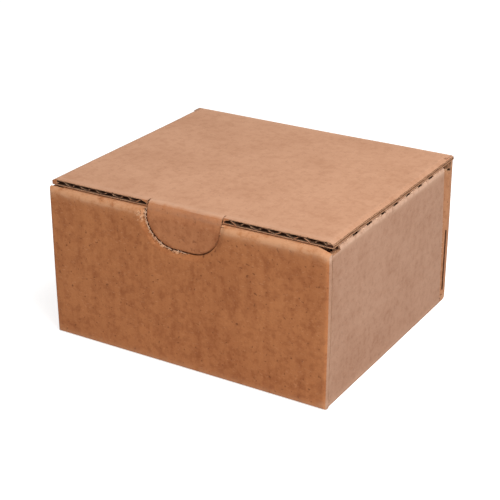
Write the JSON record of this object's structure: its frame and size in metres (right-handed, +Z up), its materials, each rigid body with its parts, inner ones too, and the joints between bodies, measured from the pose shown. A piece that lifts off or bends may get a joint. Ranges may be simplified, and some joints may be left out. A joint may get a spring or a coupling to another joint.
{
  "type": "corrugated mailer box",
  "caption": "Small closed mailer box of brown corrugated board, with rolled front and side walls and a hinged lid whose tongue tucks behind a thumb notch.",
  "frame": {"origin": "middle of the underside, on the surface that the box stands on", "axes": "+Z up, front wall with the thumb notch faces -Y, +X to the right across the front"},
  "size_m": [0.106, 0.094, 0.0563],
  "materials": {
    "tray_board": "matt brown kraft liner",
    "lid_board": "matt brown kraft liner"
  },
  "bodies": {
    "tray": {"tray": "tray_board"},
    "lid": {"lid": "lid_board"}
  },
  "joints": [
    {"name": "lid_hinge", "type": "hinge", "parent": "tray", "child": "lid", "pos_m": [0, 0.04715, 0.0543], "axis": [-1, 0, 0], "range_deg": [0, 180]}
  ]
}
